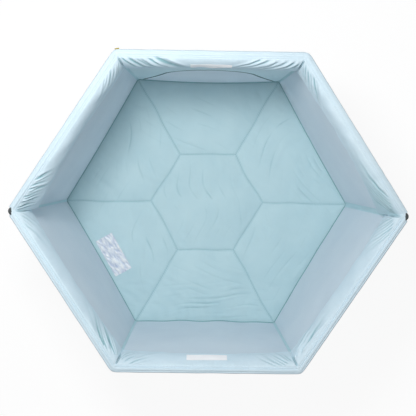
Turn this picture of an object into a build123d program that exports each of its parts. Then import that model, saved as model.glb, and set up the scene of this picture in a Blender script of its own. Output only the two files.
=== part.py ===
from build123d import *
import os
from math import asin, atan2, cos, hypot, pi, sin, sqrt

# Folding fabric playpen: sewn walls and a quilted floor hung inside a frame of six posts and crossed bars.
# Millimetres, +Z up. The origin is on the ground under the middle of the floor.
# Posts and sides are counted anticlockwise from the post on +X, and side 1 runs from post 1 to post 2.
# Side 2, on +Y, is the door side, so it has no crossed bars.

# Driving dimensions of the whole pen
post_count = 6
post_spacing = 592.0
long_corner = 1.048
pen_height = 660.0
floor_radius = 550.0
door_side = 1
window_posts = (0, 3)

# Posts, caps, feet and slider hubs
post_radius = 9.5
post_wall = 1.5
post_foot = 10.0
post_top = 640.0
cap_radius = 12.5
cap_height = 12.0
cap_round = 4.0
plug_length = 25.0
plug_clearance = 0.1
hub_radius = 15.0
foot_hub_top = 66.0
flange_radius = 22.0
flange_height = 6.0
foot_bore_radius = 9.55
slider_bore_radius = 9.85
slider_half_height = 17.0
hub_round = 2.0

# Crossed bars and their pivots
arm_reach = 40.0
arm_start = 10.2
foot_pivot = 48.0
bar_length = 565.0
bar_radius = 6.0
outer_bar_offset = 8.0
inner_bar_offset = -6.0
eye_radius = 9.5
eye_thickness = 10.0
ear_radius = 9.0
ear_thickness = 7.6
ear_gap = 0.4
pin_radius = 3.0
pin_hole_radius = 3.08
pin_head_radius = 5.5
pin_head_height = 2.0
pin_end_gap = 0.4

# Lock buttons in the slider hubs of the two drawn-out corners
button_radius = 5.9
button_hole_radius = 6.2
button_boss_radius = 9.0
button_boss_reach = 18.0
button_inner_end = 13.4
button_length = 8.1
button_round = 1.5

# Rim cover: a folded band over the post tops, with a padded roll along its inside
rim_outer = 16.0
rim_inner = -34.5
rim_corner_radius = 22.0
rim_edge_round = 7.0
rim_crest = 2.0
roll_height = 65.0
roll_cover = 4.0
channel_inner = -20.3
skirt_thickness = 2.0
rim_pad = 5.0
skirt_low = 530.0
skirt_middle = 590.0
skirt_end = 540.0
skirt_half_span = 330.0
window_radius = 15.5
window_foot = 600.0
mitre_gap = 0.15
mitre_reach = 64.0

# Mesh walls
wall_thickness = 1.5
wall_offset = -18.9
wall_top = 625.0
wall_foot = 8.0
wall_end_gap = 0.4

# Door flap, its zip and the zip's slider
door_half_width = 252.0
door_foot = 20.0
door_flap_foot = 20.5
arch_centre = 272.0
arch_radius = 165.0
door_gap = 4.0
zip_inner_edge = -3.4
zip_thickness = 3.0
zip_slider_start = 60.0
zip_slider_length = 16.0
zip_slider_width = 9.0
zip_slider_round = 3.0
zip_slider_shift = 1.5
zip_slider_height = 5.0
zip_slider_gap = 0.4
zip_pull_length = 26.0
zip_pull_width = 6.0
zip_pull_round = 2.5
zip_pull_hole_radius = 1.5
zip_pull_thickness = 1.6

# Quilted floor in six sectors that share one backing
floor_lift = 2.0
floor_backing = 3.0
floor_edge_gap = 1.8
sector_gap = 0.2
centre_pad_share = 0.397
pad_crown = ((3.0, 0.0), (8.0, 5.0), (24.0, 8.5), (60.0, 10.0))

# Worked out from the driving dimensions
up = Vector(0, 0, 1)
half_spacing = post_spacing / 2
depth = post_spacing * sqrt(1 - (long_corner - 0.5) ** 2)
posts = [
    Vector(long_corner * post_spacing, 0, 0),
    Vector(half_spacing, depth, 0),
    Vector(-half_spacing, depth, 0),
    Vector(-long_corner * post_spacing, 0, 0),
    Vector(-half_spacing, -depth, 0),
    Vector(half_spacing, -depth, 0),
]
open_span = post_spacing - 2 * arm_reach
slider_pivot = foot_pivot + sqrt(bar_length**2 - open_span**2)
pivot_reach = bar_length / 2
barred_sides = [side for side in range(post_count) if side != door_side]


def along(side):
    """Direction from a side's first post to its second."""
    return (posts[(side + 1) % post_count] - posts[side % post_count]).normalized()


def outward(side):
    """Direction out of the pen, square to a side."""
    return along(side).cross(up)


def corner_out(post):
    """Direction out of the pen that halves a corner."""
    return (outward(post - 1) + outward(post)).normalized()


def side_plane(side, offset):
    """Upright plane on a side: x along it from its middle, y up from the ground, normal outwards."""
    middle = (posts[side % post_count] + posts[(side + 1) % post_count]) * 0.5
    return Plane(origin=middle + outward(side) * offset, x_dir=along(side), z_dir=outward(side))


def inset(points, gap):
    """Corners of an anticlockwise outline drawn in by a gap on every edge."""
    result = []
    for k in range(len(points)):
        before = up.cross((points[k] - points[k - 1]).normalized())
        after = up.cross((points[(k + 1) % len(points)] - points[k]).normalized())
        halfway = (before + after).normalized()
        result.append(points[k] + halfway * (gap / halfway.dot(after)))
    return result


def flat(points):
    """Plan coordinates of a list of points."""
    return [(point.X, point.Y) for point in points]


def floor_hexagon(offset):
    """Corners of the regular floor outline, with its edges moved out by an offset."""
    radius = floor_radius + offset / cos(pi / 6)
    return [Vector(radius * cos(k * pi / 3), radius * sin(k * pi / 3), 0) for k in range(post_count)]


def save(part, name):
    """Label a finished piece and write it as its own node."""
    part.label = name
    export_step(part, f"parts/{name}.step")


def arm_and_pin(post, side, height, on_outer_bar):
    """Add to a hub the arm that reaches along a side, and the pin that its bar turns on."""
    starts_here = side % post_count == post
    post_x = -half_spacing if starts_here else half_spacing
    reach = 1 if starts_here else -1
    pivot = (post_x + reach * arm_reach, height)
    arm_middle = (post_x + reach * (arm_start + arm_reach) / 2, height)
    if on_outer_bar:
        face = outer_bar_offset - bar_radius - ear_gap
        away = 1
    else:
        face = inner_bar_offset + bar_radius + ear_gap
        away = -1
    pin_length = ear_gap + bar_radius + eye_thickness / 2 + pin_end_gap
    with BuildSketch(side_plane(side, face)) as arm:
        with Locations(arm_middle):
            Rectangle(arm_reach - arm_start, 2 * ear_radius)
        with Locations(pivot):
            Circle(ear_radius)
    extrude(arm.sketch, amount=-away * ear_thickness)
    with BuildSketch(side_plane(side, face)) as pin:
        with Locations(pivot):
            Circle(pin_radius)
    extrude(pin.sketch, amount=away * pin_length)
    with BuildSketch(side_plane(side, face + away * pin_length)) as pin_head:
        with Locations(pivot):
            Circle(pin_head_radius)
    extrude(pin_head.sketch, amount=away * pin_head_height)


def arms_of_post(post, height, first_side_outer):
    """Add the arms of a hub: one on each side that has crossed bars."""
    if post in barred_sides:
        arm_and_pin(post, post, height, first_side_outer)
    if (post - 1) % post_count in barred_sides:
        arm_and_pin(post, post - 1, height, not first_side_outer)


def bar_with_eyes(plane, hole_places):
    """Add to a bar its round length, the eye at each end, and its pin holes at places along it."""
    with BuildSketch(Plane(origin=plane.origin, x_dir=plane.z_dir, z_dir=plane.x_dir)) as section:
        Circle(bar_radius)
    extrude(section.sketch, amount=pivot_reach - bar_radius, both=True)
    with BuildSketch(plane) as eyes:
        with Locations((-pivot_reach, 0), (pivot_reach, 0)):
            Circle(eye_radius)
    extrude(eyes.sketch, amount=eye_thickness / 2, both=True)
    with BuildSketch(plane) as pin_holes:
        with Locations(*hole_places):
            Circle(pin_hole_radius)
    extrude(pin_holes.sketch, amount=eye_thickness, both=True, mode=Mode.SUBTRACT)


# Door leg: the straight run of the arch from its foot to its round top
foot_to_centre = (-door_half_width, arch_centre - door_foot)
leg_angle = atan2(foot_to_centre[1], foot_to_centre[0]) - asin(arch_radius / hypot(*foot_to_centre))


def arch(grow, base):
    """Draw the door's arch, moved out by grow, down to a base height: two straight legs and a round top."""
    radius = arch_radius + grow
    shoulder = (radius * sin(leg_angle), arch_centre - radius * cos(leg_angle))
    foot = door_half_width + (grow + (base - door_foot) * cos(leg_angle)) / sin(leg_angle)
    with BuildLine() as outline:
        Line((-foot, base), (foot, base))
        Line((foot, base), shoulder)
        ThreePointArc(shoulder, (0, arch_centre + radius), (-shoulder[0], shoulder[1]))
        Line((-shoulder[0], shoulder[1]), (-foot, base))
    make_face(outline.edges())


os.makedirs("parts", exist_ok=True)

# Post tubes
for k in range(post_count):
    with BuildPart() as post_tube:
        with BuildSketch(Plane(origin=posts[k] + up * post_foot)):
            Circle(post_radius)
            Circle(post_radius - post_wall, mode=Mode.SUBTRACT)
        extrude(amount=post_top - post_foot)
    save(post_tube.part, f"post_tube_{k + 1}")

# Post caps: a plug in the tube under a round head
for k in range(post_count):
    with BuildPart() as post_cap:
        with BuildSketch(Plane(origin=posts[k] + up * post_top)):
            Circle(cap_radius)
        extrude(amount=cap_height)
        fillet(post_cap.edges().group_by(Axis.Z)[-1], cap_round)
        with BuildSketch(Plane(origin=posts[k] + up * post_top)):
            Circle(post_radius - post_wall - plug_clearance)
        extrude(amount=-plug_length)
    save(post_cap.part, f"post_cap_{k + 1}")

# Foot hubs: a flanged socket for the post, with the arms that carry the bars' lower ends
for k in range(post_count):
    with BuildPart() as foot_hub:
        with BuildSketch(Plane(origin=posts[k])):
            Circle(flange_radius)
        extrude(amount=flange_height)
        fillet(foot_hub.edges().group_by(Axis.Z)[-1], hub_round)
        with BuildSketch(Plane(origin=posts[k])):
            Circle(hub_radius)
        extrude(amount=foot_hub_top)
        fillet(foot_hub.edges().group_by(Axis.Z)[-1], hub_round)
        arms_of_post(k, foot_pivot, True)
        with BuildSketch(Plane(origin=posts[k] + up * post_foot)):
            Circle(foot_bore_radius)
        extrude(amount=foot_hub_top, mode=Mode.SUBTRACT)
    save(foot_hub.part, f"foot_hub_{k + 1}")

# Slider hubs: sleeves that run on the posts, with the arms that carry the bars' upper ends
for k in range(post_count):
    with BuildPart() as slider_hub:
        with BuildSketch(Plane(origin=posts[k] + up * (slider_pivot - slider_half_height))):
            Circle(hub_radius)
        extrude(amount=2 * slider_half_height)
        fillet(slider_hub.edges().group_by(Axis.Z)[-1], hub_round)
        fillet(slider_hub.edges().group_by(Axis.Z)[0], hub_round)
        arms_of_post(k, slider_pivot, False)
        if k in window_posts:
            boss_plane = Plane(origin=posts[k] + up * slider_pivot, x_dir=up, z_dir=corner_out(k))
            with BuildSketch(boss_plane.offset(post_radius)):
                Circle(button_boss_radius)
            extrude(amount=button_boss_reach - post_radius)
            with BuildSketch(boss_plane):
                Circle(button_hole_radius)
            extrude(amount=button_boss_reach, mode=Mode.SUBTRACT)
        with BuildSketch(Plane(origin=posts[k] + up * (slider_pivot - slider_half_height))):
            Circle(slider_bore_radius)
        extrude(amount=2 * slider_half_height, mode=Mode.SUBTRACT)
    save(slider_hub.part, f"slider_hub_{k + 1}")

# Lock buttons
for k in window_posts:
    with BuildPart() as lock_button:
        button_plane = Plane(origin=posts[k] + up * slider_pivot, x_dir=up, z_dir=corner_out(k))
        with BuildSketch(button_plane.offset(button_inner_end)):
            Circle(button_radius)
        extrude(amount=button_length)
        fillet(lock_button.edges().sort_by_distance(posts[k] + up * slider_pivot)[-1:], button_round)
    save(lock_button.part, f"lock_button_{k + 1}")

# Crossed bars: the outer bar of a side carries the rivet that the inner bar turns on
rivet_length = outer_bar_offset - inner_bar_offset + bar_radius + pin_end_gap
for side in barred_sides:
    first = posts[side] + along(side) * arm_reach
    second = posts[(side + 1) % post_count] - along(side) * arm_reach
    crossing = (first + second + up * (foot_pivot + slider_pivot)) * 0.5
    out = outward(side)

    with BuildPart() as outer_bar:
        outer_rise = second - first + up * (slider_pivot - foot_pivot)
        outer_plane = Plane(origin=crossing + out * outer_bar_offset, x_dir=outer_rise, z_dir=out)
        bar_with_eyes(outer_plane, [(-pivot_reach, 0), (pivot_reach, 0)])
        with BuildSketch(outer_plane):
            Circle(pin_radius)
        extrude(amount=-rivet_length)
        with BuildSketch(outer_plane.offset(-rivet_length)):
            Circle(pin_head_radius)
        extrude(amount=-pin_head_height)
    save(outer_bar.part, f"outer_bar_{side + 1}")

    with BuildPart() as inner_bar:
        inner_rise = first - second + up * (slider_pivot - foot_pivot)
        inner_plane = Plane(origin=crossing + out * inner_bar_offset, x_dir=inner_rise, z_dir=out)
        bar_with_eyes(inner_plane, [(-pivot_reach, 0), (0, 0), (pivot_reach, 0)])
    save(inner_bar.part, f"inner_bar_{side + 1}")

# Rim cover: a ring and the channel in it, shaped and cut at the corners into a cover for each side
with BuildPart() as cover_ring:
    with BuildSketch(Plane.XY.offset(skirt_low)) as ring_outline:
        Polygon(*flat(inset(posts, -rim_outer)), align=None)
        fillet(ring_outline.vertices(), rim_corner_radius)
    extrude(amount=pen_height - skirt_low)
    fillet(cover_ring.edges().group_by(Axis.Z)[-1], rim_edge_round)
    with BuildSketch(Plane.XY.offset(skirt_low)):
        Polygon(*flat(inset(posts, -rim_inner)), align=None)
    extrude(amount=pen_height - skirt_low, mode=Mode.SUBTRACT)

with BuildPart() as channel_ring:
    with BuildSketch(Plane.XY.offset(skirt_low)) as channel_outline:
        Polygon(*flat(inset(posts, skirt_thickness - rim_outer)), align=None)
        fillet(channel_outline.vertices(), rim_corner_radius - skirt_thickness)
        Polygon(*flat(inset(posts, -channel_inner)), align=None, mode=Mode.SUBTRACT)
    extrude(amount=pen_height - rim_pad - skirt_low)


def clear_above_roll(side, depth):
    """Cut a side's ring down to the round of its roll, or to a depth inside that round."""
    middle = (posts[side] + posts[(side + 1) % post_count]) * 0.5
    roll_foot = pen_height - roll_height
    roll_end = rim_inner + depth
    with BuildSketch(Plane(origin=middle, x_dir=outward(side), z_dir=-along(side))) as above_roll:
        with BuildLine() as outline:
            EllipticalCenterArc(
                (rim_crest, roll_foot), rim_crest - roll_end, roll_height - depth, start_angle=90, arc_size=90
            )
            Line((roll_end, roll_foot), (-mitre_reach, roll_foot))
            Line((-mitre_reach, roll_foot), (-mitre_reach, 2 * pen_height))
            Line((-mitre_reach, 2 * pen_height), (rim_crest, 2 * pen_height))
            Line((rim_crest, 2 * pen_height), (rim_crest, pen_height - depth))
        make_face(outline.edges())
    extrude(above_roll.sketch, amount=post_spacing, both=True, mode=Mode.SUBTRACT)


for side in range(post_count):
    first_post = side
    second_post = (side + 1) % post_count
    mitre_shift = along(side) * mitre_gap
    with BuildPart() as side_channel:
        add(channel_ring.part)
        clear_above_roll(side, roll_cover)
    with BuildPart() as rim_cover:
        add(cover_ring.part)
        add(side_channel.part, mode=Mode.SUBTRACT)
        with BuildSketch(Plane.XY):
            Polygon(
                *flat(
                    [
                        posts[first_post] - corner_out(first_post) * mitre_reach + mitre_shift,
                        posts[first_post] + corner_out(first_post) * mitre_reach + mitre_shift,
                        posts[second_post] + corner_out(second_post) * mitre_reach - mitre_shift,
                        posts[second_post] - corner_out(second_post) * mitre_reach - mitre_shift,
                    ]
                ),
                align=None,
            )
        extrude(amount=2 * pen_height, mode=Mode.INTERSECT)
        clear_above_roll(side, 0.0)
        with BuildSketch(side_plane(side, -mitre_reach)):
            with BuildLine():
                Line((-skirt_half_span, 0), (skirt_half_span, 0))
                Line((skirt_half_span, 0), (skirt_half_span, skirt_end))
                ThreePointArc((skirt_half_span, skirt_end), (0, skirt_middle), (-skirt_half_span, skirt_end))
                Line((-skirt_half_span, skirt_end), (-skirt_half_span, 0))
            make_face()
        extrude(amount=2 * mitre_reach, mode=Mode.SUBTRACT)
        for post in window_posts:
            if post in (first_post, second_post):
                with BuildSketch(Plane(origin=posts[post] + up * window_foot)):
                    Circle(window_radius)
                extrude(amount=pen_height, mode=Mode.SUBTRACT)
    save(rim_cover.part, f"rim_cover_{side + 1}")

# Mesh walls: each hangs straight behind the rim's inner skirt, then runs to an edge of the floor
half_wall = wall_thickness / 2
hung_edges = (inset(posts, -wall_offset - half_wall), inset(posts, -wall_offset + half_wall))
floor_edges = (floor_hexagon(half_wall), floor_hexagon(-half_wall))
for side in barred_sides:
    second = (side + 1) % post_count
    end_shift = along(side) * wall_end_gap
    with BuildPart() as mesh_wall:
        for height, edges in ((wall_top, hung_edges), (skirt_low, hung_edges), (wall_foot, floor_edges)):
            outer_edge, inner_edge = edges
            with BuildSketch(Plane.XY.offset(height)):
                Polygon(
                    *flat(
                        [
                            inner_edge[side] + end_shift,
                            outer_edge[side] + end_shift,
                            outer_edge[second] - end_shift,
                            inner_edge[second] - end_shift,
                        ]
                    ),
                    align=None,
                )
        loft(ruled=True)
    save(mesh_wall.part, f"mesh_wall_{side + 1}")

# Door wall: the same wall with an arch cut out for the door
door_plane = side_plane(door_side, wall_offset - half_wall)
hung_line = inset(posts, -wall_offset)
wall_top_half = (hung_line[1] - hung_line[2]).length / 2 - wall_end_gap
wall_foot_half = floor_radius / 2 - wall_end_gap
with BuildPart() as door_wall:
    with BuildSketch(door_plane):
        Polygon(
            (-wall_foot_half, wall_foot),
            (wall_foot_half, wall_foot),
            (wall_top_half, wall_top),
            (-wall_top_half, wall_top),
            align=None,
        )
    extrude(amount=wall_thickness)
    with BuildSketch(door_plane):
        arch(door_gap, door_foot)
    extrude(amount=wall_thickness, mode=Mode.SUBTRACT)
save(door_wall.part, f"mesh_wall_{door_side + 1}")

# Door flap: fills the arch and swings out on its lower edge
with BuildPart() as door_flap:
    with BuildSketch(door_plane):
        arch(-door_gap, door_flap_foot)
    extrude(amount=wall_thickness)
save(door_flap.part, "door_flap")

# Door zip: the band round the arch, between the wall and the flap
zip_plane = side_plane(door_side, wall_offset - zip_thickness / 2)
with BuildPart() as door_zip:
    with BuildSketch(zip_plane):
        arch(door_gap, door_flap_foot)
    extrude(amount=zip_thickness)
    with BuildSketch(zip_plane):
        arch(zip_inner_edge, door_flap_foot)
    extrude(amount=zip_thickness, mode=Mode.SUBTRACT)
save(door_zip.part, "door_zip")

# Zip slider: a small block on the outside of the zip's straight leg, with a flat pull
leg_along = along(door_side) * -cos(leg_angle) + up * sin(leg_angle)
leg_across = outward(door_side).cross(leg_along)
door_middle = (posts[1] + posts[2]) * 0.5
leg_foot = door_middle - along(door_side) * door_half_width + up * door_foot
slider_out = wall_offset + zip_thickness / 2 + zip_slider_gap
slider_origin = leg_foot + leg_along * zip_slider_start + leg_across * zip_slider_shift
slider_plane = Plane(
    origin=slider_origin + outward(door_side) * slider_out, x_dir=leg_along, z_dir=outward(door_side)
)
with BuildPart() as zip_slider:
    with BuildSketch(slider_plane):
        RectangleRounded(zip_slider_length, zip_slider_width, zip_slider_round)
    extrude(amount=zip_slider_height)
    with BuildSketch(slider_plane.offset(zip_slider_height)):
        with Locations((-zip_pull_length / 2, 0)):
            RectangleRounded(zip_pull_length, zip_pull_width, zip_pull_round)
        with Locations((-zip_pull_length + zip_pull_width, 0)):
            Circle(zip_pull_hole_radius, mode=Mode.SUBTRACT)
    extrude(amount=zip_pull_thickness)
save(zip_slider.part, "zip_slider")

# Quilted floor: six sectors, each with a sixth of the middle pad and one outer pad
floor_edge = floor_hexagon(-half_wall - floor_edge_gap)
centre_radius = centre_pad_share * floor_radius
pad_level = floor_lift + floor_backing
middle_point = Vector(0, 0, 0)
for side in range(post_count):
    second = (side + 1) % post_count
    sector = inset([middle_point, floor_edge[side], floor_edge[second]], sector_gap)
    first_way = floor_edge[side].normalized()
    second_way = floor_edge[second].normalized()
    outer_pad = [
        first_way * centre_radius,
        floor_edge[side],
        floor_edge[second],
        second_way * centre_radius,
    ]
    with BuildPart() as floor_panel:
        with BuildSketch(Plane.XY.offset(floor_lift)):
            Polygon(*flat(sector), align=None)
        extrude(amount=floor_backing)
        for draw_in, rise in pad_crown:
            with BuildSketch(Plane.XY.offset(pad_level + rise)):
                Polygon(*flat(inset(outer_pad, draw_in)), align=None)
        loft(ruled=True)
        for draw_in, rise in pad_crown:
            reach = centre_radius - draw_in / cos(pi / 6)
            tip = sector[0]
            with BuildSketch(Plane.XY.offset(pad_level + rise)):
                Polygon(*flat([tip, tip + first_way * reach, tip + second_way * reach]), align=None)
        loft(ruled=True)
    save(floor_panel.part, f"floor_panel_{side + 1}")
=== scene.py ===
import math

import bpy
import numpy as np
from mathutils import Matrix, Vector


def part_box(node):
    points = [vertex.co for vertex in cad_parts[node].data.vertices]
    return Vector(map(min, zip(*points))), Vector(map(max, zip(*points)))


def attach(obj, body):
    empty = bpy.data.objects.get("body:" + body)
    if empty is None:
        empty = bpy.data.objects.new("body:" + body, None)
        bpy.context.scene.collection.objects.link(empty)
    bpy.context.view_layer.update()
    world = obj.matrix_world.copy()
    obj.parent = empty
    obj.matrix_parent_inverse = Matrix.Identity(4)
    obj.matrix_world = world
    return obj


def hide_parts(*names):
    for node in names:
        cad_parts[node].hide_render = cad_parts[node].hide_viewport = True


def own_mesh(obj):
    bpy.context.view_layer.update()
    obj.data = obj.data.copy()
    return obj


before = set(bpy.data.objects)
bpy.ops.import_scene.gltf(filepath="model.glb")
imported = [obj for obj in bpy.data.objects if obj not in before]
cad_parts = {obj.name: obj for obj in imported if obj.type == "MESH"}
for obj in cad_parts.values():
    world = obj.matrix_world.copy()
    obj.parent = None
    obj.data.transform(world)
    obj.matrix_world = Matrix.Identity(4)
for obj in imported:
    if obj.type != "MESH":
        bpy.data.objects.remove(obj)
scene = bpy.context.scene
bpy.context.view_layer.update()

# Post tubes and crossed bars
# Six upright tubes and five pairs of crossed bars, of drawn aluminium with a satin skin.
# The posts stand in the foot hubs and the bars turn on pins in the hubs' arms.


def dye(red, green, blue):
    """A colour card's 0-255 values as the linear light that the shaders use, with full cover."""
    card = np.array([red, green, blue]) / 255.0
    light = np.where(card > 0.04045, ((card + 0.055) / 1.055) ** 2.4, card / 12.92)
    return (*light.tolist(), 1.0)


def feed(made, sockets):
    """Put constants or links on a shader node's sockets, by their names or numbers."""
    for name, value in sockets.items():
        if isinstance(value, bpy.types.NodeSocket):
            made.id_data.links.new(value, made.inputs[name])
        else:
            made.inputs[name].default_value = value


def node(tree, kind, sockets=None, **settings):
    """A shader node with its settings, and with constants or links on its sockets."""
    made = tree.nodes.new("ShaderNode" + kind)
    for name, value in settings.items():
        setattr(made, name, value)
    feed(made, sockets or {})
    return made


def finish(name, colour, roughness):
    """A new material with a plain colour and roughness: the material, its node tree and its shader."""
    material = bpy.data.materials.new(name)
    material.use_nodes = True
    shader = material.node_tree.nodes["Principled BSDF"]
    feed(shader, {"Base Color": colour, "Roughness": roughness})
    return material, material.node_tree, shader


def map_range(value, start, stop, low=0.0, high=1.0):
    """A value between start and stop, spread from low to high."""
    limits = {"Value": value, "From Min": start, "From Max": stop, "To Min": low, "To Max": high}
    return node(value.id_data, "MapRange", limits).outputs["Result"]


def mottle(place, scale, low=0.0, high=1.0):
    """Cloudy noise at a scale, spread from low to high."""
    cloud = node(place.id_data, "TexNoise", {"Vector": place, "Scale": scale, "Detail": 3.0})
    return map_range(cloud.outputs["Fac"], 0.3, 0.7, low, high)


def tint(share, first, second):
    """One colour to another, by a share from 0 to 1."""
    return node(share.id_data, "Mix", {"Factor": share, 6: first, 7: second}, data_type="RGBA").outputs[2]


def relief(shader, height, depth):
    """Fine relief on a surface: the height socket, times a depth in metres."""
    bump = node(shader.id_data, "Bump", {"Height": height, "Strength": 1.0, "Distance": depth})
    feed(shader, {"Normal": bump.outputs["Normal"]})


def object_place(tree):
    """Object coordinates, in metres."""
    return node(tree, "TexCoord").outputs["Object"]


def dress(names, material):
    """Give CAD nodes a material."""
    for name in names:
        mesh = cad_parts[name].data
        mesh.materials.clear()
        mesh.materials.append(material)


def grained(name, pale, deep, cloud, rough, low, high, grain, depth, metal=0.0):
    """A hard surface: clouds of two tones, patches of roughness from low to high, and a fine grain of a depth
    in metres. The clouds, the patches and the grain each have a scale."""
    material, tree, shader = finish(name, pale, low)
    place = object_place(tree)
    feed(shader, {"Base Color": tint(mottle(place, cloud), pale, deep), "Metallic": metal})
    feed(shader, {"Roughness": mottle(place, rough, low, high)})
    relief(shader, mottle(place, grain), depth)
    return material


barred_sides = (1, 3, 4, 5, 6)
metal_tones = dye(186, 190, 195), dye(206, 209, 212)
aluminium = grained("satin_aluminium", *metal_tones, 60.0, 900.0, 0.28, 0.42, 2400.0, 0.00002, metal=1.0)
dress([f"post_tube_{k}" for k in range(1, 7)], aluminium)
dress([f"{layer}_bar_{k}" for layer in ("outer", "inner") for k in barred_sides], aluminium)

# Hubs, caps, lock buttons and zip slider
# Moulded parts in dark plastic with a fine spark-eroded grain; the buttons are a lighter grey.
# The hubs sit on the posts, the caps plug the posts' tops, and the buttons stand in two slider hubs.
moulding = (45.0, 300.0, 0.42, 0.6, 1800.0, 0.00005)
dark_plastic = grained("dark_plastic", dye(52, 58, 60), dye(66, 73, 75), *moulding)
button_plastic = grained("button_plastic", dye(146, 160, 164), dye(160, 173, 176), *moulding)
dress([f"{part}_{k}" for part in ("post_cap", "foot_hub", "slider_hub") for k in range(1, 7)], dark_plastic)
dress(["zip_slider"], dark_plastic)
dress(["lock_button_1", "lock_button_4"], button_plastic)

# Quilted floor
# A thin wadded cloth of six panels round a sewn hexagon, with six seams out to the floor's corners.
# It is one cloth, shown as the six sectors that fold upwards, and its fullness is settled as cloth.
floor_radius = 0.550
floor_rings, centre_ring = 152, 60
seam_level, floor_underside = 0.0062, 0.0020
pad_low, pad_high = 0.0050, 0.0185
pad_rise, pad_flutter, pad_reach = 0.0040, 0.0008, 0.030
seam_wander, seam_sink, seam_width = 0.0028, 0.0018, 0.0045
wrinkle_height, wrinkle_width, wrinkle_clear = 0.0020, 0.0068, 0.010
wrinkle_bend, wrinkle_mean, wrinkle_change, wrinkle_most = 0.50, 0.30, 0.80, 1.2
cloth_drop, cloth_rise = -0.008, 0.010
sewn_within = 1e-6
edge_bow = np.array([0.003, 0.009, 0.003, 0.003, 0.004, 0.003])
edge_wave = np.array([0.0, 0.0, 0.0, 0.0, 0.0022, 0.0006])

# Seeded waves: how many, and their least and greatest length.
wander_waves, flutter_waves = (8, 0.12, 0.4), (14, 0.03, 0.11)
bend_waves, change_waves = (7, 0.17, 0.50), (9, 0.030, 0.080)


def unit(ways):
    """Directions made one long."""
    return ways / np.linalg.norm(ways, axis=-1, keepdims=True)


# The posts in plan, each side's direction and outward normal, and each corner's outward direction.
post_boxes = np.array([[tuple(corner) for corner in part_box(f"post_tube_{k}")] for k in range(1, 7)])
posts = post_boxes.mean(axis=1)[:, :2]
to_next = np.roll(posts, -1, axis=0) - posts
post_spacing, folded_spacing = float(np.linalg.norm(to_next[0])), 0.112
side_way = unit(to_next)
side_out = np.stack([side_way[:, 1], -side_way[:, 0]], axis=1)
corner_out = unit(side_out + np.roll(side_out, 1, axis=0))


def gather(piece):
    """Give a piece a mesh of its own."""
    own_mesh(piece)


def bow_of_edge(side, share):
    """How far a floor edge is drawn in at a share of its length: one bow, and a few waves on it."""
    return np.sin(np.pi * share) * (edge_bow[side] + edge_wave[side] * np.sin(22.0 * share + 0.6))


def sixth_way(turns):
    """Direction in plan at a number of sixths of a turn from +X."""
    angle = turns * np.pi / 3
    return np.stack([np.cos(angle), np.sin(angle)], axis=-1)


def scene_object(name, data):
    """A new object in the scene, at the origin, that shows its data."""
    made = bpy.data.objects.new(name, data)
    scene.collection.objects.link(made)
    return made


def mesh_piece(name, points, faces, material, uv=None):
    """A piece from an array of points and an array of faces that all have the same number of corners."""
    mesh = bpy.data.meshes.new(name)
    mesh.vertices.add(len(points))
    mesh.vertices.foreach_set("co", points.astype(np.float32).ravel())
    mesh.loops.add(faces.size)
    mesh.loops.foreach_set("vertex_index", faces.astype(np.int32).ravel())
    mesh.polygons.add(len(faces))
    mesh.polygons.foreach_set("loop_start", np.arange(0, faces.size, faces.shape[1], dtype=np.int32))
    mesh.update(calc_edges=True)
    mesh.polygons.foreach_set("use_smooth", np.full(len(faces), True))
    if uv is not None:
        layer = mesh.uv_layers.new(name="cloth")
        layer.uv.foreach_set("vector", uv[faces.ravel()].astype(np.float32).ravel())
    mesh.materials.append(material)
    return scene_object(name, mesh)


def numbers_on(piece, name, values):
    """Keep one number at each point of a piece for its material to read."""
    layer = piece.data.attributes.new(name, "FLOAT", "POINT")
    layer.data.foreach_set("value", values.astype(np.float32))


# Points of the floor lie on a lattice of small triangles, counted along two of its three directions.
count = np.arange(-floor_rings, floor_rings + 1)
first, second = (grid.ravel() for grid in np.meshgrid(count, count, indexing="ij"))
inside = np.abs(first + second) <= floor_rings
first, second = first[inside], second[inside]
row, column = first + floor_rings, second + floor_rings
lattice = np.full((2 * floor_rings + 3, 2 * floor_rings + 3), -1)
lattice[row, column] = np.arange(len(first))
pitch = floor_radius / floor_rings
row_pitch = pitch * math.sqrt(3) / 2
plan = np.stack([pitch * (first + second / 2), row_pitch * second], axis=1)
ring = np.max(np.abs([first, second, first + second]), axis=0)


def lattice_faces(step):
    """Triangles between the lattice's points that are a step apart, as rows of point numbers."""
    chosen = (first % step == 0) & (second % step == 0)
    low, left = row[chosen], column[chosen]
    here, right = lattice[low, left], lattice[low + step, left]
    above, beyond = lattice[low, left + step], lattice[low + step, left + step]
    faces = np.concatenate([np.stack([here, right, above], axis=1), np.stack([right, beyond, above], axis=1)])
    return faces[(faces >= 0).all(axis=1)]


floor_faces = lattice_faces(1)

# Each point's sector, its share along that sector's edge, and its distances from the seams and the edge.
turn = np.arctan2(plan[:, 1], plan[:, 0]) % (2 * np.pi)
sector = np.minimum((turn / (np.pi / 3)).astype(int), 5)
into = turn - sector * np.pi / 3
share = np.sin(into) / np.maximum(np.sin(into) + np.sin(np.pi / 3 - into), 1e-9)
radius = np.linalg.norm(plan, axis=1)
from_ring = np.abs(ring - centre_ring) * row_pitch
from_ray = radius * np.abs(np.sin(np.minimum(into, np.pi / 3 - into)))
from_seam = np.where(ring >= centre_ring, np.minimum(from_ring, from_ray), from_ring)
from_edge = (floor_rings - ring) * row_pitch
from_sewn = np.minimum(from_seam, from_edge)
on_ray = (ring >= centre_ring) & (from_ray < from_ring)
stitch_run = np.where(on_ray, radius, (share - 0.5) * ring * pitch)
edge_out = sixth_way(sector + 0.5)


def bell(distance, width):
    """A bell curve: 1 at no distance, and about a third at one width."""
    return np.exp(-((distance / width) ** 2))


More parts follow.
